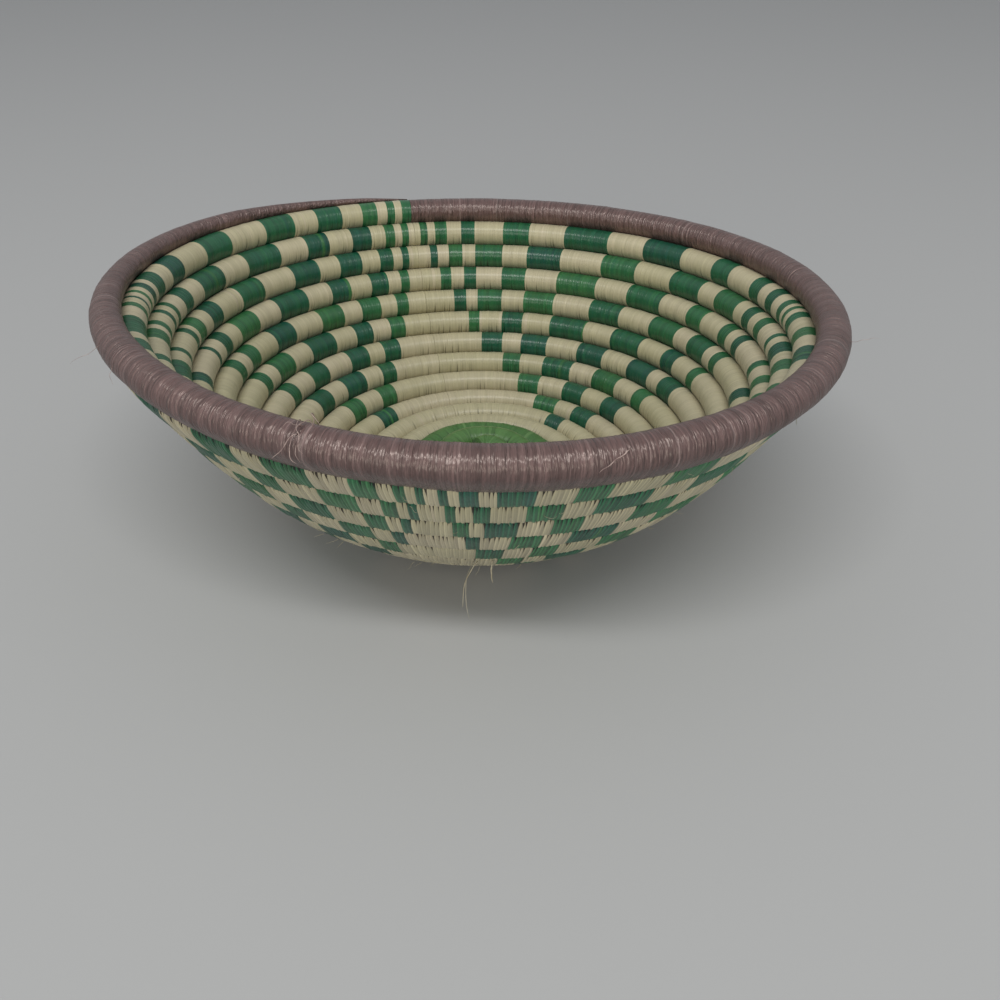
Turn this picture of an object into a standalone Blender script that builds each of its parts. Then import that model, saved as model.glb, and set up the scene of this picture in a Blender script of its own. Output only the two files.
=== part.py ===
"""Coiled basket bowl: a grass coil, sewn round by round with raffia.

The bowl is one long spiral. It starts in the middle of the base, runs outward
and clockwise as seen from above, climbs the wall and ends as the mauve rim.
Inside it runs one unbroken bundle of grass, foundation_coil. The raffia
stitching round that bundle is a row of sleeves, nearly all of one round each.
"""

import math

import bmesh
import bpy
import mathutils
import numpy as np

MM = 0.001

# Driving dimensions of the coil, in metres
COIL_PITCH = 9.6 * MM           # from one round to the next, along the wall
COIL_HEIGHT = 10.2 * MM         # thickness of the wall, before the outside is pressed flat
STITCH_CLEARANCE = 0.45 * MM    # left between neighbouring rounds
END_CLEARANCE = 0.5 * MM        # left between the end of one round and the start of the next
BORE_SIDE = 5.6 * MM            # square passage through the stitching
BUNDLE_SIDE = 4.9 * MM          # square grass bundle in that passage

# Driving dimensions of the bowl, in metres and rounds
RIM_RADIUS = 110.0 * MM         # from the axis to the middle of the rim coil
START_ROUNDS = 10 / 24          # the spiral starts this far out from the axis, as a tight curl
ROUNDS = START_ROUNDS + 15      # rounds of the spiral, measured from the axis
GREEN_ENDS = (1.5, 2.5)         # rounds after the start where the two bright green pieces end
GREEN_PIECES = 2
NATURAL_START = 4               # from here on, each piece of stitching ends in line with the seam
BASE_PIECES = 4                 # pieces up to where the wall starts to climb
SEAM_DEGREES = 103.75           # direction of the place where the rim starts and ends

# Slope of the wall in degrees, at distances in millimetres from the rim inward along
# the wall. The level stretch is one COIL_PITCH long, so the bowl stands on a full round.
WALL_DISTANCES = (0.0, 24.0, 48.0, 72.0, 88.0, 101.0, 110.6, 120.0, 134.0, 146.0)
WALL_SLOPES = (55.4, 59.0, 52.2, 36.3, 35.9, 0.0, 0.0, -22.6, -9.9, 0.0)

# The bowl is sewn by hand and isn't quite round or level
OVAL = -0.02                    # share by which the rim is drawn out along one diagonal
RIM_SHIFT_X = -1.9 * MM         # middle of the rim, from the middle of the base
RIM_SHIFT_Y = -4.4 * MM
LEAN_X = -1.8 * MM              # rise of the rim on the +X side, and as much drop on the other
LEAN_Y = -4.0 * MM
SADDLE = 1.4 * MM               # rise of the rim at both ends of X
LEVEL_SHARE = 0.43              # inside this share of the rim radius the base stays level
LEAN_POWER = 0.6                # how the lean sets in outside it

# Where the bowl stands, the underside of the coil is cut flat by a tenth of its thickness
REST_CUT = 0.1 * COIL_HEIGHT
REST_ROUNDING = 0.05 * MM       # corners this near the floor lie on it

# The rim coil thins out over its last stretch and ends behind the seam
TAIL_ROUNDS = 0.30
TAIL_END_SIZE = 0.30
TAIL_DROP = 0.46                # pitches that its middle would come down if it thinned to nothing
TAIL_BUNDLE_SIZE = 0.55         # the bundle stops where the tail is this thin
START_CURL_GAP = 0.3 * MM       # from the bowl's axis to the start of the curl

POINTS_PER_ROUND = 24
CENTRE_POINTS = 12              # in the small rounds, up to CENTRE_END
CENTRE_END = START_ROUNDS + 5
CURL_POINTS = 6                 # in the first rounds, up to CURL_END
CURL_END = START_ROUNDS + 2

# Corners of the stitching's cross-section, as degrees round the coil. 90 is the
# inside of the bowl. The outside is pressed flat, between FLAT and 180 - FLAT, to the
# depth that the bowl stands on.
FLAT = math.degrees(math.asin(2.0 * REST_CUT / COIL_HEIGHT - 1.0))
SECTION_DEGREES = (90.0, 38.6, -10.0, FLAT, -180.0 - FLAT, -170.0, -218.6)

# Each material's name, linear base colour and roughness
NATURAL = ("natural_raffia", (0.46, 0.42, 0.28), 0.55)
BRIGHT_GREEN = ("bright_green_raffia", (0.09, 0.27, 0.06), 0.5)
MAUVE = ("mauve_raffia", (0.12, 0.072, 0.086), 0.42)
GRASS = ("grass_bundle", (0.36, 0.29, 0.14), 0.9)

TRACE_STEP = 0.25 * MM
TRACE_LENGTH = 1.35 * RIM_RADIUS    # along the wall, from the rim past the middle of the base
STEP_ALONG = 0.01               # rounds either way, to find the coil's direction
STEP_ACROSS = 0.05              # pitches either way, to find the wall's direction
NEAREST_RING = 0.01             # rounds between an end and the next ring, at least


def clear_scene():
    """Remove whatever objects the open file holds."""
    for item in list(bpy.data.objects):
        bpy.data.objects.remove(item, do_unlink=True)


def make_material(name, colour, roughness):
    """A Principled material with the given base colour and roughness."""
    material = bpy.data.materials.new(name)
    material.use_nodes = True
    material.diffuse_color = (*colour, 1.0)
    shader = material.node_tree.nodes["Principled BSDF"]
    shader.inputs["Base Color"].default_value = (*colour, 1.0)
    shader.inputs["Roughness"].default_value = roughness
    shader.inputs["Metallic"].default_value = 0.0
    return material


def trace_wall():
    """Radius and height of the coil's middle line against distance inward from the rim.

    The wall's slope f changes evenly between WALL_DISTANCES, and with distance s
    radius = RIM_RADIUS - sum(cos f ds) and height = -sum(sin f ds).
    """
    distance = np.arange(0.0, TRACE_LENGTH, TRACE_STEP)
    slope = np.interp(distance / MM, WALL_DISTANCES, np.radians(WALL_SLOPES))
    radius = RIM_RADIUS - np.concatenate(([0.0], np.cumsum(np.cos(slope[:-1])))) * TRACE_STEP
    height = -np.concatenate(([0.0], np.cumsum(np.sin(slope[:-1])))) * TRACE_STEP
    return distance, radius, height


DISTANCE, RADIUS, HEIGHT = trace_wall()
LOWEST = HEIGHT.min()


def tail_size(rounds):
    """Size of the coil as a share of its full size: 1, then thinning along the rim's tail."""
    into_tail = max(0.0, (rounds - ROUNDS + TAIL_ROUNDS) / TAIL_ROUNDS)
    return 1.0 - (1.0 - TAIL_END_SIZE) * into_tail


def coil_point(rounds, sideways=0.0):
    """Middle of the coil after so many rounds, or a point so many pitches up the wall from it.

    It's at the angle a = SEAM_DEGREES - 360 (rounds - ROUNDS + 1) and, along the
    wall, COIL_PITCH further out with each round. The lean and the saddle set in outside
    the level base, and the oval grows with the square of the radius. The tail's middle
    comes down as it thins, so it stays on the round below.
    """
    inward = (ROUNDS - 0.5 - rounds - sideways) * COIL_PITCH
    inward += TAIL_DROP * COIL_PITCH * (1.0 - tail_size(rounds))
    rim_slope = math.radians(WALL_SLOPES[0])
    radius = np.interp(inward, DISTANCE, RADIUS) - min(inward, 0.0) * math.cos(rim_slope)
    height = np.interp(inward, DISTANCE, HEIGHT) - min(inward, 0.0) * math.sin(rim_slope)
    angle = math.radians(SEAM_DEGREES) - 2.0 * math.pi * (rounds - ROUNDS + 1.0)
    share = radius / RIM_RADIUS
    growth = max(0.0, (share - LEVEL_SHARE) / (1.0 - LEVEL_SHARE)) ** LEAN_POWER
    out = radius * (1.0 + OVAL * share ** 2 * math.sin(2.0 * angle))
    rise = LEAN_X * math.cos(angle) + LEAN_Y * math.sin(angle) + SADDLE * math.cos(2.0 * angle)
    return np.array((
        out * math.cos(angle) + RIM_SHIFT_X * share,
        out * math.sin(angle) + RIM_SHIFT_Y * share,
        height - LOWEST + 0.5 * COIL_HEIGHT - REST_CUT + rise * growth,
    ))


def unit(vector):
    """The vector at a length of one."""
    return vector / np.linalg.norm(vector)


def coil_frame(rounds):
    """Middle of the coil, its direction up the wall, and its direction into the bowl."""
    along = unit(coil_point(rounds + STEP_ALONG) - coil_point(rounds - STEP_ALONG))
    across = coil_point(rounds, STEP_ACROSS) - coil_point(rounds, -STEP_ACROSS)
    across = unit(across - along * np.dot(across, along))
    return coil_point(rounds), across, np.cross(along, across)


def full_point(rounds):
    """Middle of the coil where it would be if the tail didn't thin out."""
    return coil_point(rounds, TAIL_DROP * (1.0 - tail_size(rounds)))


def half_width(rounds):
    """Half the full coil's width: up to its nearer neighbour, less half the clearance.

    Straight stretches between points cut corners, so the spacing counts as
    spacing * cos(half the angle between two points).
    """
    here = full_point(rounds)
    spacings = []
    if rounds >= 1.0:
        spacings.append(np.linalg.norm(here - full_point(rounds - 1.0)))
    if rounds <= ROUNDS - 1.0:
        spacings.append(np.linalg.norm(full_point(rounds + 1.0) - here))
    corner = math.cos(math.pi / POINTS_PER_ROUND)
    return 0.5 * (min(spacings) * corner - STITCH_CLEARANCE)


def coil_size(rounds):
    """Share of full size: thinner along the tail, and where the first curl meets the axis."""
    room = (rounds * COIL_PITCH - START_CURL_GAP) / (0.5 * COIL_PITCH)
    return min(tail_size(rounds), room, 1.0)


def stitching_section(rounds):
    """Corners of the stitching's outer surface at one place, cut flat where the bowl stands."""
    here, across, inside = coil_frame(rounds)
    size = coil_size(rounds)
    width = half_width(rounds) * size
    depth = 0.5 * COIL_HEIGHT * size
    corners = []
    for degrees in SECTION_DEGREES:
        turn = math.radians(degrees)
        corner = here + across * width * math.cos(turn) + inside * depth * math.sin(turn)
        if corner[2] < REST_ROUNDING:
            corner[2] = 0.0
        corners.append(corner)
    return corners


def square_section(rounds, side):
    """Corners of a square of the given side round the coil's middle line."""
    here, across, inside = coil_frame(rounds)
    half = 0.5 * side * coil_size(rounds)
    signs = ((1, 1), (1, -1), (-1, -1), (-1, 1))
    return [here + across * half * a + inside * half * b for a, b in signs]


def points_per_round(place):
    """Number of points in a round: the smaller rounds near the middle need fewer."""
    if place < CURL_END:
        return CURL_POINTS
    if place < CENTRE_END:
        return CENTRE_POINTS
    return POINTS_PER_ROUND


def grid_rounds(start, end):
    """Places along the spiral between start and end, at even angles counted from the seam."""
    places = []
    last = round(ROUNDS * POINTS_PER_ROUND)
    for step in range(1, last):
        place = step / POINTS_PER_ROUND
        skip = POINTS_PER_ROUND // points_per_round(place)
        if (last - step) % skip == 0 and start + NEAREST_RING < place < end - NEAREST_RING:
            places.append(place)
    return places


def shorten(place, sign):
    """The place moved along the coil by half the clearance between two ends."""
    girth = 2.0 * math.pi * np.linalg.norm(coil_point(place)[:2])
    return place + sign * 0.5 * END_CLEARANCE / girth


def round_places(start, end):
    """All places of one round's rings, shortened at both ends."""
    return [shorten(start, 1.0)] + grid_rounds(start, end) + [shorten(end, -1.0)]


def bridge(mesh, first, second):
    """Triangles between two rings of as many corners.

    Every four corners are split along the same diagonal, so the bundle's sides bend
    as the sides of its passage do and stay clear of them.
    """
    count = len(first)
    for i in range(count):
        j = (i + 1) % count
        mesh.faces.new((first[i], first[j], second[j]))
        mesh.faces.new((first[i], second[j], second[i]))


def finish_object(mesh, name, material, smooth):
    """Turn a bmesh into a named object whose faces look outward."""
    bmesh.ops.recalc_face_normals(mesh, faces=mesh.faces)
    data = bpy.data.meshes.new(name)
    mesh.to_mesh(data)
    mesh.free()
    data.polygons.foreach_set("use_smooth", [smooth] * len(data.polygons))
    data.materials.append(material)
    item = bpy.data.objects.new(name, data)
    bpy.context.scene.collection.objects.link(item)
    return item


def make_stitching(name, start, end, material):
    """One round of stitching: an open sleeve with a square passage for the bundle."""
    mesh = bmesh.new()
    outer_rings = []
    inner_rings = []
    for place in round_places(start, end):
        outer_rings.append([mesh.verts.new(corner) for corner in stitching_section(place)])
        bore = square_section(place, BORE_SIDE)
        inner_rings.append([mesh.verts.new(corner) for corner in bore])
    for before, after in zip(outer_rings, outer_rings[1:]):
        bridge(mesh, before, after)
    for before, after in zip(inner_rings, inner_rings[1:]):
        bridge(mesh, before, after)
    for outer, inner in ((outer_rings[0], inner_rings[0]), (outer_rings[-1], inner_rings[-1])):
        close_end(mesh, outer, inner)
    return finish_object(mesh, name, material, True)


def close_end(mesh, outer, inner):
    """Flat end of a sleeve: the faces between its outer ring and its passage.

    The outer corners run round the coil from its inside. Each group of them is
    joined to one side or corner of the square, in the same order.
    """
    top, right, low_right, base_right, base_left, low_left, left = outer
    near_right, far_right, far_left, near_left = inner
    mesh.faces.new((top, right, near_right))
    mesh.faces.new((right, low_right, far_right, near_right))
    mesh.faces.new((low_right, base_right, far_right))
    mesh.faces.new((base_right, base_left, far_left, far_right))
    mesh.faces.new((base_left, low_left, far_left))
    mesh.faces.new((low_left, left, near_left, far_left))
    mesh.faces.new((left, top, near_left))
    mesh.faces.new((top, near_right, near_left))


def make_foundation(material):
    """The grass bundle: one unbroken bar through every round, closed at both ends."""
    places = [shorten(START_ROUNDS, 1.0)] + grid_rounds(START_ROUNDS, ROUNDS)
    places = [place for place in places if tail_size(place) >= TAIL_BUNDLE_SIZE]
    mesh = bmesh.new()
    rings = []
    for place in places:
        rings.append([mesh.verts.new(corner) for corner in square_section(place, BUNDLE_SIDE)])
    for before, after in zip(rings, rings[1:]):
        bridge(mesh, before, after)
    mesh.faces.new(rings[0])
    mesh.faces.new(rings[-1])
    return finish_object(mesh, "foundation_coil", material, False)


def ring_points(places, section):
    """Corners of the section at each place, and halfway between two places."""
    rings = np.array([section(place) for place in places])
    halves = 0.5 * (rings[1:] + rings[:-1])
    middles = 0.5 * (np.asarray(places[1:]) + np.asarray(places[:-1]))
    return np.concatenate((rings, halves)), np.concatenate((places, middles))


def least_gap(section):
    """Least distance between points of the coil's surface that lie over half a round apart."""
    places = grid_rounds(START_ROUNDS, ROUNDS)
    rings, where = ring_points(places, section)
    least = 1.0
    for ring, place in zip(rings, where):
        others = rings[where - place > 0.5].reshape(-1, 3)
        if len(others):
            gaps = np.linalg.norm(others[None, :, :] - ring[:, None, :], axis=2)
            least = min(least, gaps.min())
    return least


def piece_edges():
    """Where the pieces of stitching meet, in rounds from the axis.

    The second green piece ends half a round past the seam, and the first natural
    one takes the other half, so that all further pieces end in line with the seam.
    """
    after_start = (0.0, *GREEN_ENDS, *range(NATURAL_START, round(ROUNDS - START_ROUNDS) + 1))
    return [START_ROUNDS + after for after in after_start]


def piece_name(number, count):
    """A plain name for a piece of stitching, counted from the middle of the base."""
    if number == count:
        return "rim_round"
    if number <= GREEN_PIECES:
        return f"centre_round_{number}"
    if number <= BASE_PIECES:
        return f"base_round_{number}"
    return f"wall_round_{number:02d}"


def build():
    """Make every piece of stitching and the bundle inside it."""
    clear_scene()
    natural = make_material(*NATURAL)
    bright_green = make_material(*BRIGHT_GREEN)
    mauve = make_material(*MAUVE)
    make_foundation(make_material(*GRASS))
    edges = piece_edges()
    count = len(edges) - 1
    for number, (start, end) in enumerate(zip(edges, edges[1:]), start=1):
        material = natural
        if number <= GREEN_PIECES:
            material = bright_green
        if number == count:
            material = mauve
        make_stitching(piece_name(number, count), start, end, material)


def centre_bowl():
    """Move every mesh so that the middle of the bowl's box is over the origin."""
    corners = [tuple(vertex.co) for item in bpy.data.objects for vertex in item.data.vertices]
    middle = 0.5 * (np.min(corners, axis=0) + np.max(corners, axis=0))
    shift = mathutils.Matrix.Translation((-middle[0], -middle[1], 0.0))
    for item in bpy.data.objects:
        item.data.transform(shift)


def measure():
    """Print the least gaps and the sizes that the record states."""
    stitching_gap = least_gap(stitching_section) / MM
    bundle_gap = least_gap(lambda place: square_section(place, BUNDLE_SIDE)) / MM
    print(f"least gap between rounds of stitching {stitching_gap:.2f} mm")
    print(f"least gap of the bundle to itself {bundle_gap:.2f} mm")
    corners = []
    triangles = 0
    for item in bpy.data.objects:
        item.data.calc_loop_triangles()
        triangles += len(item.data.loop_triangles)
        corners.extend(tuple(vertex.co) for vertex in item.data.vertices)
    low = np.min(corners, axis=0) / MM
    high = np.max(corners, axis=0) / MM
    print("lowest corner", np.round(low, 1), "highest corner", np.round(high, 1), "mm")
    print("objects", len(bpy.data.objects), "triangles", triangles)


build()
centre_bowl()
measure()
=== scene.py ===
# %% [markdown]
# # A coiled basket bowl
#
# This lesson dresses a imported CAD model of a hand-sewn basket bowl. The real bowl is
# one long bundle of grass, wound in a spiral and sewn round by round with raffia. The
# CAD model already has one solid for each round, in metres, with the bowl standing on
# z = 0. Here each of those rounds gets its real surface: hundreds of separate stitches.
#
# We start by loading the CAD model and keeping its solids. At the end, each dressed
# round is measured against the box of its solid.

# %% Load the CAD model
import math

import bpy
import numpy as np
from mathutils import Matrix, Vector


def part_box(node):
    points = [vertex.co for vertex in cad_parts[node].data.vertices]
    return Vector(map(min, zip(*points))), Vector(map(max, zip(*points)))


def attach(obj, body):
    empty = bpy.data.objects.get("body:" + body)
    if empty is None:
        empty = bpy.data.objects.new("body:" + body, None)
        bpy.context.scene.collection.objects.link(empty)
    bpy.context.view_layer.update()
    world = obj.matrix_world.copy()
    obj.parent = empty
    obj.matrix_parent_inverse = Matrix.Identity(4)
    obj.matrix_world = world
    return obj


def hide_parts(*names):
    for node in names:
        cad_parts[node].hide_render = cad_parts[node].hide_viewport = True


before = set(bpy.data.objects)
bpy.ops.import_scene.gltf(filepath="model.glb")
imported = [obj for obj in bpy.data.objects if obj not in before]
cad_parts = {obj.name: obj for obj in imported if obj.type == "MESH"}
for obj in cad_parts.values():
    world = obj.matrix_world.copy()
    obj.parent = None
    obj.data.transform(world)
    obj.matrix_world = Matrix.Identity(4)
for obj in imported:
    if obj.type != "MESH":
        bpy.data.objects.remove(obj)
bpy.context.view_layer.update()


# %% [markdown]
# ## The path of the coil
#
# Every stitch sits on the coil, so the first thing to know is where the coil runs. It
# could be traced by hand as a curve, but a coil has a simple rule: with each turn it
# moves one coil's width outward along the wall. So we draw the wall once, as a side
# view from the rim down to the middle of the base, and let the spiral follow it.

# %% The wall seen from the side
MM = 0.001
COIL_PITCH = 9.6 * MM           # from one round to the next, along the wall
COIL_HEIGHT = 10.2 * MM         # thickness of the wall
REST_CUT = 0.1 * COIL_HEIGHT    # how far the outside is pressed flat
RIM_RADIUS = 110.0 * MM         # from the axis to the middle of the rim coil
START_ROUNDS = 10 / 24          # the coil starts this far from the axis, as a tight curl
ROUNDS = START_ROUNDS + 15      # rounds of the spiral, measured from the axis
SEAM_DEGREES = 103.75           # direction of the place where the rim starts and ends
TAIL_ROUNDS = 0.30              # the rim thins out over its last stretch
TAIL_END_SIZE = 0.30
TAIL_DROP = 0.46                # how far its middle comes down as it thins, in pitches

# Slope of the wall in degrees, at distances in millimetres from the rim inward
WALL_DISTANCES = (0.0, 24.0, 48.0, 72.0, 88.0, 101.0, 110.6, 120.0, 134.0, 146.0)
WALL_SLOPES = (55.4, 59.0, 52.2, 36.3, 35.9, 0.0, 0.0, -22.6, -9.9, 0.0)
TRACE_LENGTH = 1.35 * RIM_RADIUS    # past the middle of the base
TRACE_STEP = 0.25 * MM

wall_distance = np.arange(0.0, TRACE_LENGTH, TRACE_STEP)
wall_slope = np.interp(wall_distance / MM, WALL_DISTANCES, np.radians(WALL_SLOPES))
inward_steps = np.concatenate(([0.0], np.cumsum(np.cos(wall_slope[:-1]))))
downward_steps = np.concatenate(([0.0], np.cumsum(np.sin(wall_slope[:-1]))))
wall_radius = RIM_RADIUS - inward_steps * TRACE_STEP
wall_height = -downward_steps * TRACE_STEP
wall_height -= wall_height.min()
print(f"depth of the bowl along the coil's middle {wall_height.max() / MM:.1f} mm")

# %% [markdown]
# ## From the side view to the spiral
#
# A hand-sewn bowl is never quite round or level. This one leans a little, and its rim
# is slightly oval and lies off the middle of the base. The lean sets in outside the
# level base, and the oval grows with the square of the radius. The functions below take
# whole arrays of places along the spiral, counted in rounds from the middle.

# %% The spiral and the directions on it
OVAL = -0.02                    # share by which the rim is drawn out along one diagonal
RIM_SHIFT_X = -1.9 * MM         # middle of the rim, from the middle of the base
RIM_SHIFT_Y = -4.4 * MM
LEAN_X = -1.8 * MM              # rise of the rim on the +X side
LEAN_Y = -4.0 * MM
SADDLE = 1.4 * MM               # rise of the rim at both ends of X
LEVEL_SHARE = 0.43              # inside this share of the rim radius the base stays level
LEAN_POWER = 0.6                # how the lean grows from there to the rim
CENTRE_X = 2.4877 * MM          # from the base's middle to the middle of the bowl's box
CENTRE_Y = 5.7523 * MM
STEP_ALONG = 0.01               # steps for measuring directions, in rounds and in pitches
STEP_ACROSS = 0.05
LENGTH_STEPS = 6000             # points for measuring the whole coil


def tail_size(rounds):
    """Size of the coil as a share of full size: 1, then falling evenly along the tail."""
    into_tail = np.clip((rounds - ROUNDS + TAIL_ROUNDS) / TAIL_ROUNDS, 0.0, None)
    return 1.0 - (1.0 - TAIL_END_SIZE) * into_tail


def coil_point(rounds, sideways=0.0):
    """Middle of the coil after so many rounds.

    Its direction from the axis is SEAM_DEGREES - 360 (rounds - ROUNDS + 1). Its
    distance along the wall, from the rim inward, is COIL_PITCH times the rounds that
    are left. The radius and height come from the side view. The lean and the saddle
    set in outside the level base, and the oval grows with the square of the radius.
    """
    rounds = np.asarray(rounds, dtype=float)
    inward = (ROUNDS - 0.5 - rounds - sideways) * COIL_PITCH
    inward = inward + TAIL_DROP * COIL_PITCH * (1.0 - tail_size(rounds))
    beyond = np.minimum(inward, 0.0)
    rim_slope = math.radians(WALL_SLOPES[0])
    radius = np.interp(inward, wall_distance, wall_radius) - beyond * math.cos(rim_slope)
    height = np.interp(inward, wall_distance, wall_height) - beyond * math.sin(rim_slope)
    angle = math.radians(SEAM_DEGREES) - 2.0 * math.pi * (rounds - ROUNDS + 1.0)
    share = radius / RIM_RADIUS
    growth = np.clip((share - LEVEL_SHARE) / (1.0 - LEVEL_SHARE), 0.0, None) ** LEAN_POWER
    out = radius * (1.0 + OVAL * share ** 2 * np.sin(2.0 * angle))
    rise = LEAN_X * np.cos(angle) + LEAN_Y * np.sin(angle) + SADDLE * np.cos(2.0 * angle)
    return np.stack((
        out * np.cos(angle) + RIM_SHIFT_X * share + CENTRE_X,
        out * np.sin(angle) + RIM_SHIFT_Y * share + CENTRE_Y,
        height + 0.5 * COIL_HEIGHT - REST_CUT + rise * growth,
    ), axis=-1)


def unit(vectors):
    """Each vector at a length of one."""
    return vectors / np.linalg.norm(vectors, axis=-1, keepdims=True)


def coil_step(rounds):
    """From just before each place on the coil to just after it."""
    return coil_point(rounds + STEP_ALONG) - coil_point(rounds - STEP_ALONG)


def coil_frame(rounds):
    """Middle of the coil, its direction, the way up the wall, and the way into the bowl."""
    along = unit(coil_step(rounds))
    across = coil_point(rounds, STEP_ACROSS) - coil_point(rounds, -STEP_ACROSS)
    across = unit(across - along * np.sum(across * along, axis=-1, keepdims=True))
    return coil_point(rounds), along, across, np.cross(along, across)


def full_point(rounds):
    """Middle of the coil where it would be if the tail didn't thin out."""
    return coil_point(rounds, TAIL_DROP * (1.0 - tail_size(rounds)))


def coil_widths(rounds):
    """Half the distance to the next round out, half that to the round before, and the size.

    The rim has no next round, so it keeps its own width. In the first round the
    coil reaches the axis instead of a round before.
    """
    here = full_point(rounds)
    upper = 0.5 * np.linalg.norm(full_point(rounds + 1.0) - here, axis=-1)
    upper = np.where(rounds <= ROUNDS - 1.0, upper, 0.5 * COIL_PITCH)
    lower = 0.5 * np.linalg.norm(here - full_point(np.maximum(rounds - 1.0, 0.0)), axis=-1)
    lower = np.where(rounds >= 1.0, lower, 0.5 * COIL_PITCH)
    size = np.minimum(tail_size(rounds), np.clip(2.0 * rounds, 0.0, 1.0))
    return upper * size, lower * size, size


def running_length(points):
    """Length of a path from its start to each of its points."""
    steps = np.linalg.norm(np.diff(points, axis=0), axis=1)
    return np.append(0.0, np.cumsum(steps))


whole_coil = coil_point(np.linspace(START_ROUNDS, ROUNDS, LENGTH_STEPS))
print(f"the coil is {running_length(whole_coil)[-1]:.2f} m long")

# %% [markdown]
# ## The weaver's pattern
#
# Seen from above, the checks form four triangles that hang from the rim with their
# points towards the base. The weaver works in columns: each triangle has nineteen,
# narrow at its two sides and wide in the middle. One row below the rim all nineteen are
# used, and with each row further down one column is given up at either side. Green and
# natural take turns, and the next row starts with the other colour, so the checks
# alternate. Below, each triangle is the list of its column edges, in degrees clockwise
# from the seam, and a drift that slants the columns towards the base.

# %% Column edges of the four triangles
PATTERN_ROWS = 10
COLUMN_EDGES = (
    (1.3, 3.0, 4.8, 7.6, 11.0, 14.2, 21.0, 27.3, 36.0, 47.0,
     56.5, 67.0, 76.5, 82.2, 90.0, 93.7, 97.0, 100.0, 103.0, 105.0),
    (106.3, 107.5, 109.0, 111.5, 116.0, 119.5, 124.0, 130.0, 139.0, 150.0,
     160.5, 168.1, 176.4, 181.1, 186.3, 191.2, 193.5, 195.9, 197.3, 198.5),
    (200.3, 201.3, 202.6, 204.1, 206.3, 209.8, 215.5, 222.2, 227.0, 234.0,
     241.5, 249.0, 257.0, 261.5, 264.0, 271.0, 275.0, 276.7, 278.6, 279.4),
    (281.0, 282.0, 283.5, 285.5, 287.0, 291.0, 295.0, 300.0, 308.2, 316.0,
     325.5, 332.8, 338.4, 344.2, 348.9, 352.3, 354.6, 356.3, 357.9, 360.0),
)

# How far the columns have drifted at the last row, in degrees, and the power it grows by
COLUMN_DRIFT = ((6.5, 2.5), (7.0, 1.0), (4.5, 1.0), (6.2, 1.05))
NATURAL, GREEN = 0, 1
PLAIN_ROW = 0                   # a row without any green


def pattern_blocks(row):
    """Edges in degrees and colours of one row's blocks, from the seam round to the seam.

    Row 1 is the one under the rim. Row r uses the columns from r - 1 to 19 - r of each
    triangle. Column c is green where c - (r - 1) is even. All the rest is natural.
    """
    edges = [0.0]
    colours = []
    if 1 <= row <= PATTERN_ROWS:
        for columns, (drift, power) in zip(COLUMN_EDGES, COLUMN_DRIFT):
            shift = drift * ((row - 1) / (PATTERN_ROWS - 1)) ** power
            for column in range(row - 1, len(columns) - row, 2):
                edges += [columns[column] + shift, min(columns[column + 1] + shift, 360.0)]
                colours += [NATURAL, GREEN]
    return np.array(edges + [360.0]), np.array(colours + [NATURAL])


for row in (1, 5, 10):
    print("row", row, "has", int(pattern_blocks(row)[1].sum()), "green blocks")

# %% [markdown]
# ## Stitches
#
# A strand of raffia is about a millimetre wide and no two are alike. Each block of the
# pattern is filled with a whole number of stitches of uneven width, so a change of
# colour always falls between two stitches, as it does when the weaver changes strands.
# Each stitch then gets its own tone, height, lean and length from a seeded generator,
# so that the bowl comes out the same every time.

# %% Divide a round into stitches
STITCH_WIDTH = 1.1 * MM
THREAD_WIDTH = 0.55 * MM        # the mauve strands of the rim are split finer
STITCH_SHARES = (0.65, 1.35)    # widths before they are scaled to fill the block
BLOCK_STEPS = 40                # points for measuring a block

# Places of the grid across a stitch, from groove to groove. A thread needs fewer.
STITCH_COLUMNS = np.array((0.0, 0.24, 0.5, 0.76))
THREAD_COLUMNS = np.array((0.0, 0.5))


def lay_stitches(start, end, blocks, width, rng):
    """Edges of the stitches in rounds, and the colour and block number of each.

    A block of length s holds round(s / width) stitches. Their widths are random and
    scaled to fill the block.
    """
    block_edges, block_colours = blocks
    edges, colours, numbers = [start], [], []
    for number, colour in enumerate(block_colours):
        first, last = start + block_edges[number:number + 2] * (end - start) / 360.0
        length = running_length(coil_point(np.linspace(first, last, BLOCK_STEPS)))[-1]
        count = max(1, round(length / width))
        shares = np.cumsum(rng.uniform(*STITCH_SHARES, count))
        edges.extend(first + (last - first) * shares / shares[-1])
        colours.extend([colour] * count)
        numbers.extend([number] * count)
    return np.array(edges), np.array(colours), np.array(numbers)


trial = lay_stitches(ROUNDS - 2.0, ROUNDS - 1.0, pattern_blocks(1), STITCH_WIDTH,
                     np.random.default_rng(1))
print("stitches in the round under the rim", len(trial[1]))

# %% [markdown]
# ## The shape of one stitch
#
# Cut across, the coil is a plump oval towards the inside of the bowl. On the outside it
# is pressed flatter, and each stitch runs on downward over the round below before it
# enters between the two, so the outside looks like rows of thatch. The profile is a list
# of points round the coil: the first number goes up the wall in half widths, the second
# into the bowl in half thicknesses. Two more lists say which points belong to the outer
# flank, and how much each point moves with the stitch's free end.

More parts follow.
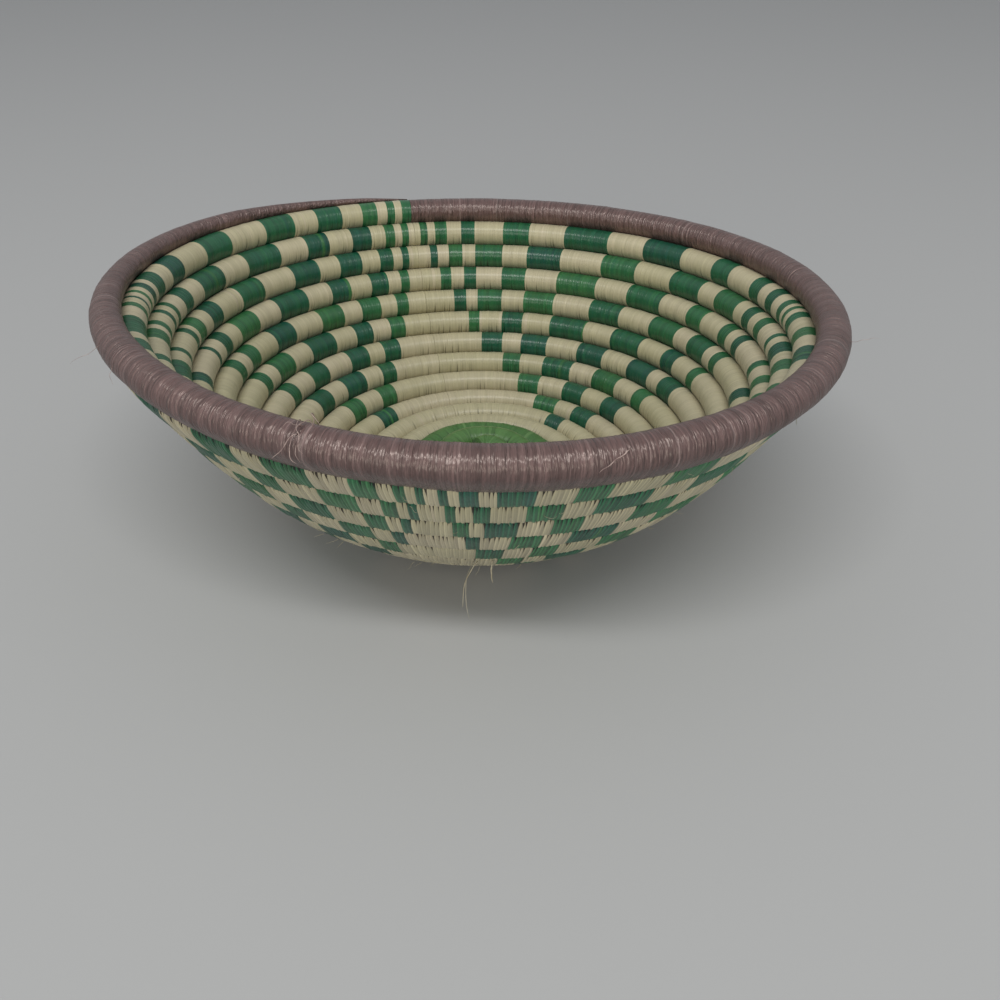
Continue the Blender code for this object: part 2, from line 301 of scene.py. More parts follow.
# %% The profile round the coil
INNER_DEGREES = np.array((192, 180, 166, 151, 136, 121, 106, 91, 76, 61, 46, 31, 15, 0, -20))
OUTER_POINTS = np.array((
    (0.85, -0.53), (0.75, -0.64), (0.62, -0.71), (0.44, -0.76), (0.18, -0.79),
    (-0.15, -0.80), (-0.5, -0.805), (-0.82, -0.80), (-1.06, -0.785), (-1.23, -0.76),
    (-1.29, -0.70), (-1.2, -0.61), (-1.06, -0.42),
))
RIM_OUTER_POINTS = np.array((
    (0.80, -0.60), (0.62, -0.78), (0.40, -0.90), (0.14, -0.95), (-0.12, -0.955),
    (-0.38, -0.94), (-0.62, -0.915), (-0.86, -0.88), (-1.10, -0.84), (-1.30, -0.79),
    (-1.36, -0.72), (-1.25, -0.62), (-1.07, -0.42),
))
FREE_END = np.array((0, 0, 0, 0, 0, 0, 0.1, 0.35, 0.75, 1, 1, 0.9, 0.3))


def profile(outer_points):
    """Points round the coil, their share of the outer flank and of the stitch's free end."""
    inner = np.radians(INNER_DEGREES)
    points = np.concatenate((np.stack((np.cos(inner), np.sin(inner)), axis=1), outer_points))
    flank = np.concatenate((np.zeros(len(inner)), np.ones(len(outer_points))))
    free_end = np.concatenate((np.zeros(len(inner)), FREE_END))
    return points, flank, free_end


print("points round the coil", len(profile(OUTER_POINTS)[0]))

# %% [markdown]
# ## A round of stitches as one grid
#
# The surface is a function of two parameters, the place along the coil and the place
# round it, worked out on a whole grid at once. On the smooth inside the strands lie so
# close that the grooves hardly show. On the outside they are deeper, each strand has a
# fold down its middle and one pale edge, and many grooves open into wedges under the row
# above, where its stitches were pushed through. The grooves, the folds and the holes
# pierced low on the inside are darkened with painted shade, the pale edge is a painted
# highlight, and the wedges are filled with painted shade. Such wedges could be cut with a
# boolean, but that is slow and fragile. Here each point of the grid only remembers how
# far it is from its groove and how wide the wedge is there. On the left the outside
# stands out further, as it does on the real bowl.
#
# The wall and the rim differ, so each has a style: numbers that the functions look up.

# %% Two styles of stitching
WALL_STYLE = {
    "width": STITCH_WIDTH,
    "outer_points": OUTER_POINTS,
    "columns": STITCH_COLUMNS,
    "slit_share": 0.70,         # share of the grooves that open into a wedge outside
    "teeth_share": 0.25,        # and that are pierced low on the inside, darkened with painted shade
    "raggedness": 0.05,         # how unevenly the stitches end, in half widths
    "groove_scale": 1.0,        # depth of the grooves
    "swelling": 0.010,          # how much the coil's thickness varies
    "hues": (0.1, 0.9),         # the blocks take their hues from this range
    "hue_spread": 0.08,         # and single stitches stray from it so far
    "odd_share": 0.01,          # share of stitches in the last hue
    "thinning": None,           # how the coil thins out, a function of the rounds
}

# Where along its tail the rim has which share of its full thickness
TAIL_PLACES = (0.0, 0.66, 0.82, 0.92, 1.0)
TAIL_SIZES = (1.0, 0.54, 0.32, 0.19, 0.03)


def tail_thinning(rounds):
    """Thickness of the rim as a share of full size, from place to place along its tail."""
    return np.interp((rounds - ROUNDS + TAIL_ROUNDS) / TAIL_ROUNDS, TAIL_PLACES, TAIL_SIZES)


RIM_STYLE = {
    **WALL_STYLE,
    "width": THREAD_WIDTH,
    "outer_points": RIM_OUTER_POINTS,
    "columns": THREAD_COLUMNS,
    "slit_share": 0.0,
    "teeth_share": 0.0,
    "raggedness": 0.03,
    "groove_scale": 0.35,
    "swelling": 0.014,
    "hues": (0.3, 0.32),
    "hue_spread": 0.14,
    "thinning": tail_thinning,
}
print("strands in mm", [round(style["width"] / MM, 2) for style in (WALL_STYLE, RIM_STYLE)])

# %% Measures of the grooves and strands
GROOVE_INSIDE = 0.03 * MM
GROOVE_OUTSIDE = 0.13 * MM
SHADE_INSIDE = 0.06             # painted shade: how much darker a groove is than its strands
SHADE_OUTSIDE = 0.25
SHADE_MOST = 0.85
SPLIT_SHADE = 0.14              # and the painted shade of the fold down the middle of a strand outside
UNEVEN_OUTSIDE = 0.10           # how much the tone of the outer strands differs
EDGE_HIGHLIGHT_FROM = 0.7               # painted highlight on the pale edge, from this far across an outer strand
LIFT_SPREAD = 0.03              # how unevenly the strands lie, in millimetres
LEAN_SPREAD = 0.10
SLANT = 0.15 * MM               # the outer strands lean to either side in turn
GROOVE_SHORTER = 0.02           # a groove ends above its strands, in half widths
SLIT_WIDTHS = (0.14, 0.36)      # half widths of the wedges at their top, in millimetres
SLIT_LENGTHS = (0.30, 1.15)     # in half widths of the coil
SLIT_DEPTH = 0.9 * MM
SLIT_TOP = 0.74                 # wedges are widest here, in half widths up the wall
PINCH = 0.10 * MM               # how far two strands draw apart at a wedge
TEETH_FROM = -0.42              # below this, on the inside, some grooves are pierced and darkened with painted shade
TEETH_LENGTH = 0.35
# how much painted shade the pierced holes get
TEETH_SHADES = (0.25, 0.75)
TEETH_DEPTH = 0.25 * MM
STRAIGHT_OUT = 0.9              # on the outer flank grooves are pressed nearly straight in
PROUD = 1.9 * MM                # the stitches are thickest outside on the left
PROUD_DEGREES = 198.0           # the middle of that place
PROUD_START = ROUNDS - 7.0
PROUD_GROWTH = 5.0              # rounds over which it grows
PROUD_END = ROUNDS - 0.9        # it has faded out here, under the rim
PROUD_FADE = 0.1
SWELL_WAVES = (8, 5.0)          # number of waves and how tight they are
SLANT_WAVES = (5, 9.0)
FLOOR_CLEARANCE = 0.02 * MM

# %% Waves, columns and the proud side
def smooth_noise(places, rng, waves, longest):
    """A sum of sine waves of random phase, each shorter and lower than the one before."""
    total = np.zeros_like(places)
    for wave in range(1, waves + 1):
        phase = rng.uniform(0.0, 2.0 * math.pi)
        total += np.sin(places * longest * wave ** 1.5 + phase) / wave
    return total


def grid_columns(edges, shares):
    """Places of the grid's columns, and the share across, stitch and groove of each.

    A column lies at edge + share * width of its stitch. The last one is the last edge.
    """
    count = len(edges) - 1
    widths = np.diff(edges)
    places = np.append((edges[:-1, None] + widths[:, None] * shares).ravel(), edges[-1])
    phase = np.append(np.tile(shares, count), 0.0)
    number = np.repeat(np.arange(count), len(shares))
    stitch = np.append(number, count - 1)
    groove = np.append(number + (phase[:-1] > 0.5), count)
    return places, phase, stitch, groove


def proud_share(places):
    """How much of PROUD a place has: the cosine squared of its angle from PROUD_DEGREES.

    It grows from PROUD_START over PROUD_GROWTH rounds and fades out before PROUD_END.
    """
    turn = math.radians(SEAM_DEGREES - PROUD_DEGREES) - 2.0 * math.pi * (places - ROUNDS + 1.0)
    share = np.clip(np.cos(turn), 0.0, 1.0) ** 2
    share = share * np.clip((places - PROUD_START) / PROUD_GROWTH, 0.0, 1.0)
    return share * np.clip((PROUD_END - places) / PROUD_FADE, 0.0, 1.0)


print("grid columns under the rim", len(grid_columns(trial[0], STITCH_COLUMNS)[0]))

# %% Work out the grid of a round
def round_grid(edges, style, rng):
    """Corners of the grid, and four marks for every corner.

    Row i is the profile point (a, b). It is placed at
    middle + across * half width * a + inside * half thickness * b.
    The marks are the half width of the wedge, the distance to the groove, the
    brightness, which holds painted shade and random tone, and the painted highlight on
    the pale edge of a strand.
    """
    points, flank, free_end = profile(style["outer_points"])
    places, phase, stitch, groove = grid_columns(edges, style["columns"])
    count = len(edges) - 1
    ridge = np.sqrt(np.clip(4.0 * phase * (1.0 - phase), 0.0, 1.0))
    at_groove = (1.0 - ridge)[:, None]
    middle, along, across, inside = coil_frame(places)
    upper, lower, size = coil_widths(places)
    if style["thinning"] is not None:
        thin = style["thinning"](places)
        middle = middle - across * (TAIL_DROP * COIL_PITCH * (size - thin))[:, None]
        upper, lower, size = upper * thin / size, lower * thin / size, thin
    speed = np.linalg.norm(coil_step(places), axis=-1) / (2.0 * STEP_ALONG)
    distance = np.minimum(phase, 1.0 - phase) * np.diff(edges)[stitch] * speed / MM

    # Everything random, in a fixed order
    turn = places * 2.0 * math.pi
    swell = 1.0 + style["swelling"] * smooth_noise(turn, rng, *SWELL_WAVES)
    lift = rng.normal(0.0, LIFT_SPREAD, count)[stitch] * MM * ridge
    lean = rng.normal(0.0, LEAN_SPREAD, count)[stitch] * MM * ridge
    slant = SLANT * smooth_noise(turn, rng, *SLANT_WAVES)
    longer = rng.normal(0.0, style["raggedness"], count)[stitch] * ridge
    has_slit = rng.random(count + 1) < style["slit_share"]
    slit_width = np.where(has_slit, rng.uniform(*SLIT_WIDTHS, count + 1), 0.0)
    slit_length = rng.uniform(*SLIT_LENGTHS, count + 1)
    has_tooth = rng.random(count + 1) < style["teeth_share"]
    tooth_shade = np.where(has_tooth, rng.uniform(*TEETH_SHADES, count + 1), 0.0)
    uneven = rng.normal(0.0, UNEVEN_OUTSIDE, count)[stitch][:, None] * flank

    # Wedges, and painted shade in the grooves, folds and pierced holes, with random tone
    a = points[:, 0] - (longer - GROOVE_SHORTER * (1.0 - ridge))[:, None] * free_end
    b = np.repeat(points[None, :, 1], len(places), axis=0)
    length = slit_length[groove][:, None]
    below_top = np.clip((a - SLIT_TOP + length) / length, 0.0, 1.0)
    slit = slit_width[groove][:, None] * below_top * flank
    opened = slit / SLIT_WIDTHS[1]
    # painted shade in the holes pierced low on the inside, which are also pressed in
    low_inside = np.clip((TEETH_FROM - a) / TEETH_LENGTH, 0.0, 1.0) * (1.0 - flank)
    pierced_shade = tooth_shade[groove][:, None] * low_inside
    # painted shade: a groove is darker than its strands, more so outside
    line = SHADE_INSIDE + (SHADE_OUTSIDE - SHADE_INSIDE) * flank
    # painted shade along the fold down the middle of an outer strand
    fold_shade = SPLIT_SHADE * (phase == 0.5)[:, None] * flank
    groove_shade = np.clip(line + pierced_shade, 0.0, SHADE_MOST) * at_groove
    # brightness: painted shade of grooves, folds and holes, times the random outer tone
    shade = (1.0 - groove_shade) * (1.0 - fold_shade + uneven)
    # painted highlight on the pale edge of each outer strand
    edge_highlight = (phase > EDGE_HIGHLIGHT_FROM)[:, None] * flank

    # How far the surface is pressed in
    depth = GROOVE_INSIDE + (GROOVE_OUTSIDE - GROOVE_INSIDE) * flank
    depth = depth * style["groove_scale"] + SLIT_DEPTH * opened + TEETH_DEPTH * pierced_shade
    push = (depth * at_groove - lift[:, None]) * size[:, None]
    push = push - PROUD * proud_share(places)[:, None] * flank
    half_width = np.where(a > 0.0, upper[:, None], lower[:, None]) * swell[:, None]
    half_depth = (0.5 * COIL_HEIGHT * size * swell)[:, None]
    outward = np.stack((a / half_width, b / half_depth), axis=-1)
    outward[..., 0] *= 1.0 - STRAIGHT_OUT * flank
    outward = unit(outward)

    x = a * half_width - outward[..., 0] * push
    y = b * half_depth - outward[..., 1] * push
    apart = np.select((phase > 0.5, (phase > 0.0) & (phase < 0.5)), (-1.0, 1.0), 0.0)
    slide = (lean[:, None] + (slant * size)[:, None] * flank) * a
    slide = slide + apart[:, None] * opened * PINCH
    grid = (middle[:, None, :] + across[:, None, :] * x[..., None]
            + inside[:, None, :] * y[..., None] + along[:, None, :] * slide[..., None])
    grid[..., 2] = np.maximum(grid[..., 2], FLOOR_CLEARANCE)
    distance = np.repeat(distance[:, None], len(points), axis=1)
    return grid, {"slit": slit, "groove": distance, "shade": shade, "edge_highlight": edge_highlight}


# %% [markdown]
# ## From the grid to a mesh
#
# The grid becomes a closed tube: its rows join up round the coil and both ends are
# capped. Colours that belong to a stitch are stored on its faces, so that they change
# sharply, and the marks for the painted shade of the slits and grooves and the painted
# highlight on the strand edges are stored on the corners, so that they fade. A UV map
# counts millimetres along the coil and round it, for the grain of the strands.

# %% Build the mesh of a round
def tube_faces(columns, rows):
    """Four corner numbers for each face of a grid that is closed round its rows."""
    column, row = np.meshgrid(np.arange(columns - 1), np.arange(rows), indexing="ij")
    after = (row + 1) % rows
    here = column * rows
    corners = (here + row, here + after, here + rows + after, here + rows + row)
    return np.stack(corners, axis=-1).reshape(-1, 4)


def add_attribute(mesh, name, domain, values):
    """Store one number per face or per corner point under a name."""
    attribute = mesh.attributes.new(name, "FLOAT", domain)
    attribute.data.foreach_set("value", np.asarray(values, dtype=np.float32))


def grid_mesh(name, grid):
    """A closed tube with a UV map in millimetres: u along the coil and v round it."""
    columns, rows = grid.shape[:2]
    faces = tube_faces(columns, rows)
    caps = [np.arange(rows)[::-1], np.arange(rows) + (columns - 1) * rows]
    corners = np.concatenate((faces.ravel(), caps[0], caps[1])).astype(np.int32)
    sizes = np.append(np.full(len(faces), 4), (rows, rows)).astype(np.int32)
    starts = np.concatenate(([0], np.cumsum(sizes[:-1]))).astype(np.int32)
    mesh = bpy.data.meshes.new(name)
    mesh.vertices.add(columns * rows)
    mesh.vertices.foreach_set("co", grid.reshape(-1).astype(np.float32))
    mesh.loops.add(len(corners))
    mesh.loops.foreach_set("vertex_index", corners)
    mesh.polygons.add(len(sizes))
    mesh.polygons.foreach_set("loop_start", starts)
    mesh.polygons.foreach_set("use_smooth", np.ones(len(sizes), dtype=bool))

    along = running_length(grid.mean(axis=1)) / MM
    section = grid[columns // 2]
    round_it = running_length(np.concatenate((section, section[:1]))) / MM
    face_column = np.repeat(np.arange(columns - 1), rows)
    face_row = np.tile(np.arange(rows), columns - 1)
    u = along[np.stack((face_column, face_column, face_column + 1, face_column + 1), axis=1)]
    v = round_it[np.stack((face_row, face_row + 1, face_row + 1, face_row), axis=1)]
    uv = np.concatenate((np.stack((u, v), axis=-1).reshape(-1, 2), np.zeros((2 * rows, 2))))
    mesh.uv_layers.new(name="strands").data.foreach_set("uv", uv.ravel().astype(np.float32))
    mesh.update(calc_edges=True)
    mesh.validate()
    return mesh


def place_object(name, mesh, *materials):
    """Link a mesh as an object at the origin."""
    for material in materials:
        mesh.materials.append(material)
    item = bpy.data.objects.new(name, mesh)
    bpy.context.scene.collection.objects.link(item)
    return item


# %% [markdown]
# ## Raffia
#
# Raffia is a palm leaf, split into flat strands. Along a strand run fine fibres, which
# give it a satin gloss: the light spreads across the fibres and stays narrow along them.
# The material mixes three close colours from strand to strand, streaks each strand with
# long thin noise, and paints shade, nearly black, into a wedge wherever a point is nearer
# to its groove than the wedge is wide. The painted shade of the grooves and folds and the
# painted highlight on the pale strand edges come from marks on the mesh. A second, longer
# noise tilts each strand a little, so that the highlight breaks up into short glints. Dyed
# strands take the dye unevenly, so the greens go from bluish to leaf green.

# %% Helpers for node materials
def link(from_node, output, to_node, socket):
    """Join two sockets in the tree that holds their nodes."""
    from_node.id_data.links.new(from_node.outputs[output], to_node.inputs[socket])


def add_node(material, kind, **settings):
    """A new node with some of its properties set."""
    node = material.node_tree.nodes.new(kind)
    for key, value in settings.items():
        setattr(node, key, value)
    return node


def set_inputs(node, values):
    """Give named inputs of a node their numbers."""
    for name, value in values.items():
        node.inputs[name].default_value = value


def math_node(material, operation, *values):
    """A Math node whose inputs are numbers or (node, output) pairs."""
    node = add_node(material, "ShaderNodeMath", operation=operation)
    for socket, value in enumerate(values):
        if isinstance(value, tuple):
            link(*value, node, socket)
        else:
            node.inputs[socket].default_value = value
    return node


def mark(material, name):
    """One of the numbers stored on the mesh, as a (node, output) pair."""
    return add_node(material, "ShaderNodeAttribute", attribute_name=name), "Fac"


def add_ramp(material, stops):
    """A colour ramp through (position, colour) stops."""
    node = add_node(material, "ShaderNodeValToRGB")
    elements = node.color_ramp.elements
    for element, (position, colour) in zip(elements, (stops[0], stops[-1])):
        element.position = position
        element.color = (*colour, 1.0)
    for position, colour in stops[1:-1]:
        elements.new(position).color = (*colour, 1.0)
    return node


def stretched_noise(material, scale, detail=2.0, roughness=0.5):
    """Flat noise with so many waves per millimetre along the coil and round it."""
    uv = add_node(material, "ShaderNodeUVMap", uv_map="strands")
    stretch = add_node(material, "ShaderNodeMapping")
    noise = add_node(material, "ShaderNodeTexNoise", noise_dimensions="2D")
    set_inputs(stretch, {"Scale": (*scale, 1.0)})
    set_inputs(noise, {"Scale": 1.0, "Detail": detail, "Roughness": roughness})
    link(uv, "UV", stretch, "Vector")
    link(stretch, "Vector", noise, "Vector")
    return noise


def add_bump(material, noise, distance, strength=1.0):
    """A bump of some height that follows a noise."""
    bump = add_node(material, "ShaderNodeBump")
    set_inputs(bump, {"Strength": strength, "Distance": distance})
    link(noise, "Fac", bump, "Height")
    return bump


def new_material(name, roughness):
    """A material with a Principled shader of some roughness, and that shader."""
    material = bpy.data.materials.new(name)
    material.use_nodes = True
    shader = material.node_tree.nodes["Principled BSDF"]
    set_inputs(shader, {"Roughness": roughness})
    return material, shader


# %% A material for strands of raffia
STREAK_SHARE = 0.035            # waves of a streak along a strand, for each one across it
TILT_SHARES = (0.45, 0.09)      # the same for the tilting noise, across and along
STREAK_RELIEF = 0.12 * MM
WEDGE_EDGE = (-0.02, 0.05)      # a wedge turns dark with painted shade between these depths, in millimetres


def make_strands(name, colours, wedge_shade_colour, roughness, grain, tone_range, bump, tilt,
                 edge_highlight_gain, sheen=0.08):
    """Satin strands: three colours by the hue mark, streaked, with wedges of painted shade.

    The brightness is (1 + tone_range * (tone + 2 * streaks - 1.5)
    + gain * painted edge highlight) * shade, where the shade mark holds painted shade
    in the grooves, folds and pierced holes and the random tone of the outer strands.
    The grain counts streaks per millimetre across a strand.
    """
    material, shader = new_material(name, roughness)
    set_inputs(shader, {"Specular IOR Level": 0.55, "Anisotropic": 0.6,
                        "Sheen Weight": sheen, "Sheen Roughness": 0.4})
    tangent = add_node(material, "ShaderNodeTangent", direction_type="UV_MAP", uv_map="strands")
    link(tangent, "Tangent", shader, "Tangent")
    streaks = stretched_noise(material, (grain, STREAK_SHARE * grain), detail=3.0, roughness=0.6)
    across, along = TILT_SHARES
    tilts = stretched_noise(material, (across * grain, along * grain), detail=1.0, roughness=0.6)

    ramp = add_ramp(material, ((0.0, colours[0]), (0.5, colours[1]), (1.0, colours[2])))
    link(*mark(material, "hue"), ramp, "Fac")
    streaked = math_node(material, "MULTIPLY", (streaks, "Fac"), 2.0 * tone_range)
    toned = math_node(material, "MULTIPLY_ADD", mark(material, "tone"), tone_range, (streaked, 0))
    # painted highlight on the pale edges of the outer strands
    highlighted = math_node(material, "MULTIPLY_ADD", mark(material, "edge_highlight"), edge_highlight_gain, (toned, 0))
    level = math_node(material, "ADD", (highlighted, 0), 1.0 - 1.5 * tone_range)
    bright = math_node(material, "MULTIPLY", (level, 0), mark(material, "shade"))
    scale = add_node(material, "ShaderNodeVectorMath", operation="SCALE")
    link(ramp, "Color", scale, "Vector")
    link(bright, 0, scale, "Scale")

    # painted shade, nearly black, fills a wedge where a point is nearer its groove
    within = math_node(material, "SUBTRACT", mark(material, "slit"), mark(material, "groove"))
    dark = add_node(material, "ShaderNodeMapRange", interpolation_type="SMOOTHSTEP")
    set_inputs(dark, {"From Min": WEDGE_EDGE[0], "From Max": WEDGE_EDGE[1]})
    link(within, 0, dark, "Value")
    mix = add_node(material, "ShaderNodeMix", data_type="RGBA")
    link(dark, "Result", mix, "Factor")
    link(scale, "Vector", mix, 6)
    mix.inputs[7].default_value = (*wedge_shade_colour, 1.0)
    link(mix, 2, shader, "Base Color")

    waves = add_bump(material, tilts, tilt * MM)
    relief = add_bump(material, streaks, STREAK_RELIEF, bump)
    link(waves, "Normal", relief, "Normal")
    link(relief, "Normal", shader, "Normal")
    return material


# the second colour in each call is the painted shade inside the wedges
natural_raffia = make_strands(
    "natural_raffia_strands",
    ((0.43, 0.395, 0.245), (0.445, 0.405, 0.262), (0.485, 0.43, 0.295)), (0.035, 0.026, 0.014),
    roughness=0.42, grain=3.2, tone_range=0.12, bump=0.4, tilt=0.08, edge_highlight_gain=0.20)
green_raffia = make_strands(
    "dark_green_raffia_strands",
    ((0.007, 0.067, 0.045), (0.012, 0.097, 0.041), (0.032, 0.142, 0.047)), (0.004, 0.010, 0.006),
    roughness=0.34, grain=3.2, tone_range=0.32, bump=0.5, tilt=0.16, edge_highlight_gain=0.85, sheen=0.01)
bright_raffia = make_strands(
    "bright_green_raffia_strands",
    ((0.053, 0.146, 0.036), (0.080, 0.190, 0.051), (0.112, 0.228, 0.074)), (0.006, 0.014, 0.005),
    roughness=0.40, grain=3.2, tone_range=0.22, bump=0.4, tilt=0.08, edge_highlight_gain=0.3)
mauve_raffia = make_strands(
    "mauve_raffia_strands",
    ((0.084, 0.046, 0.044), (0.130, 0.078, 0.075), (0.205, 0.142, 0.136)), (0.020, 0.012, 0.012),
    roughness=0.36, grain=3.0, tone_range=0.45, bump=0.9, tilt=0.56, edge_highlight_gain=0.0, sheen=0.02)
set_inputs(mauve_raffia.node_tree.nodes["Principled BSDF"], {
    "Specular Tint": (1.0, 0.88, 0.82, 1.0), "Specular IOR Level": 1.0, "Anisotropic": 0.45})
raffia = (natural_raffia, green_raffia, bright_raffia, mauve_raffia)
print("raffia materials", [material.name for material in raffia])

# %% [markdown]
# ## Sew the patterned rounds
#
# Each CAD round is now replaced by its own stitches. A weaver's strand lasts for a
# dozen stitches or so, and its colour hardly changes along it, so the hue is drawn once
# for each block and nudged for each stitch.

# %% Sew the rounds of the base and the wall
SEED = 100                      # the generator of round n starts from this plus n
RIM_NUMBER = 14                 # the rim's round, so pattern row r is on round 14 - r


def sew_round(node, number, start, end, row, materials, style):
    """Stitches from start to end of the coil, in rounds, standing for one CAD round."""
    rng = np.random.default_rng(SEED + number)
    edges, colours, blocks = lay_stitches(START_ROUNDS + start, START_ROUNDS + end,
                                          pattern_blocks(row), style["width"], rng)
    grid, marks = round_grid(edges, style, rng)
    mesh = grid_mesh(node + "_stitches", grid)
    count = len(colours)
    hue = rng.uniform(*style["hues"], blocks.max() + 1)[blocks]
    hue = np.clip(hue + rng.normal(0.0, style["hue_spread"], count), 0.0, 1.0)
    hue = np.where(rng.random(count) < style["odd_share"], 1.0, hue)
    tone = rng.random(count)
    per_face = np.repeat(np.arange(count), len(style["columns"]) * grid.shape[1])
    add_attribute(mesh, "hue", "FACE", np.append(hue[per_face], (0.5, 0.5)))
    add_attribute(mesh, "tone", "FACE", np.append(tone[per_face], (0.5, 0.5)))
    for name, values in marks.items():
        add_attribute(mesh, name, "POINT", values.ravel())
    piece = place_object(node + "_stitches", mesh, *materials)
    indices = np.append(colours[per_face], (0, 0)).astype(np.int32)
    mesh.polygons.foreach_set("material_index", indices)
    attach(piece, "root")
    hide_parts(node)
    return piece, count


patterned = (natural_raffia, green_raffia)
sewn = {}
sewn["base_round_3"] = sew_round("base_round_3", 3, 2.5, 4.0, PLAIN_ROW,
                                 patterned, WALL_STYLE)
for number in range(4, RIM_NUMBER):
    node = "base_round_4" if number == 4 else f"wall_round_{number:02d}"
    sewn[node] = sew_round(node, number, number, number + 1.0, RIM_NUMBER - number,
                           patterned, WALL_STYLE)
print("stitches in the patterned rounds", sum(count for piece, count in sewn.values()))

# %% [markdown]
# ## The bright green start and the mauve rim
#
# The middle of the base is sewn in a brighter green. The rim is sewn last, in mauve
# strands split so fine that they look like thread, and its stitches lie close, with no
# wedges. It runs once round, and its last stretch thins out to nothing on top of the
# row below, where the weaver ran out of grass.

# %% Sew the start and the rim
START_STYLE = {**WALL_STYLE, "hue_spread": 0.15}
for number, start, end in ((1, 0.0, 1.5), (2, 1.5, 2.5)):
    node = f"centre_round_{number}"
    sewn[node] = sew_round(node, number, start, end, PLAIN_ROW,
                           (bright_raffia,), START_STYLE)
sewn["rim_round"] = sew_round("rim_round", RIM_NUMBER, RIM_NUMBER, RIM_NUMBER + 1.0, PLAIN_ROW,
                              (mauve_raffia,), RIM_STYLE)
print("threads in the rim", sewn["rim_round"][1])

# %% [markdown]
# ## The grass inside
#
# Under the stitches runs the bundle of grass. It hardly shows, but the CAD model has it
# as a piece of its own, so it gets its own surface too: a round bundle with a dozen
# blades that twist slowly about it.

# %% The grass bundle
BUNDLE_RADIUS = 2.3 * MM
BUNDLE_BLADES = 12
BUNDLE_TWIST = 9.0              # radians in each round
BUNDLE_SECTIONS = 900
BUNDLE_SIDES = 36
BLADE_HEIGHT = 0.25 * MM
GRASS_RELIEF = 0.2 * MM
BUNDLE_START = START_ROUNDS + 0.01
BUNDLE_END = ROUNDS - 0.1


def make_bundle():
    """A tube round the coil's middle, with rounded blades.

    Its radius is BUNDLE_RADIUS - BLADE_HEIGHT * (1 - |cos(blades * turn / 2)|).
    """
    places = np.linspace(BUNDLE_START, BUNDLE_END, BUNDLE_SECTIONS)
    turn = np.linspace(0.0, 2.0 * math.pi, BUNDLE_SIDES, endpoint=False)
    middle, along, across, inside = coil_frame(places)
    angle = places[:, None] * BUNDLE_TWIST - turn
    blades = BLADE_HEIGHT * np.abs(np.cos(0.5 * BUNDLE_BLADES * turn))
    radius = (BUNDLE_RADIUS - BLADE_HEIGHT + blades) * coil_widths(places)[2][:, None]
    grid = (middle[:, None, :] + across[:, None, :] * (radius * np.cos(angle))[..., None]
            + inside[:, None, :] * (radius * np.sin(angle))[..., None])
    return grid_mesh("foundation_grass", grid)


def make_grass():
    """Dry straw: warm streaks along the blades, matt."""
    material, shader = new_material("dry_grass", 0.8)
    streaks = stretched_noise(material, (0.1, 2.5))
    ramp = add_ramp(material, ((0.0, (0.20, 0.14, 0.06)), (1.0, (0.48, 0.40, 0.20))))
    link(streaks, "Fac", ramp, "Fac")
    link(ramp, "Color", shader, "Base Color")
    link(add_bump(material, streaks, GRASS_RELIEF), "Normal", shader, "Normal")
    return material


bundle = place_object("foundation_grass", make_bundle(), make_grass())
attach(bundle, "root")
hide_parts("foundation_coil")
print("faces in the bundle", len(bundle.data.polygons))

# %% [markdown]
# ## Loose fibres
#
# Here and there a fibre has split off: a small tuft curls over the front of the rim, two
# ends hang out under the base, and short hairs stick out all over the outside. Blender's
# hair would do for the many, but it isn't a mesh. So every fibre is a thin tube along a
# path that starts in the coil's skin, sets off in one direction, turns into another and
# wavers on the way. All of them are worked out at once, as one array.

# %% The shape of a fibre
FIBRE_POINTS = 22
FIBRE_SIDES = 5
FIBRE_WAVES = ((2.0, 0.22), (5.0, 0.12))    # half turns along a fibre, and how far it strays
FIBRE_TAPER = 0.75              # share of the thickness lost at the tip
FIBRE_CLEARANCE = 0.4 * MM      # least height of its middle above the floor
FIBRE_ROOT = 0.46               # it starts this share of COIL_HEIGHT from the coil's middle
ANY_DIRECTION = np.array((0.31, 0.42, 0.85))    # no fibre runs along this


def skin_point(rounds, degrees):
    """Point on the coil's skin, the way out of it, and the coil's direction.

    The degrees count round the section, from the way up the wall.
    """
    middle, along, across, inside = coil_frame(rounds)
    upper, lower, size = coil_widths(rounds)
    cosine, sine = np.cos(np.radians(degrees)), np.sin(np.radians(degrees))
    half_width = np.where(cosine > 0.0, upper, lower)
    outward = across * cosine[:, None] + inside * sine[:, None]
    point = (middle + across * (half_width * cosine)[:, None]
             + inside * (FIBRE_ROOT * COIL_HEIGHT * size * sine)[:, None])
    return point, outward, along


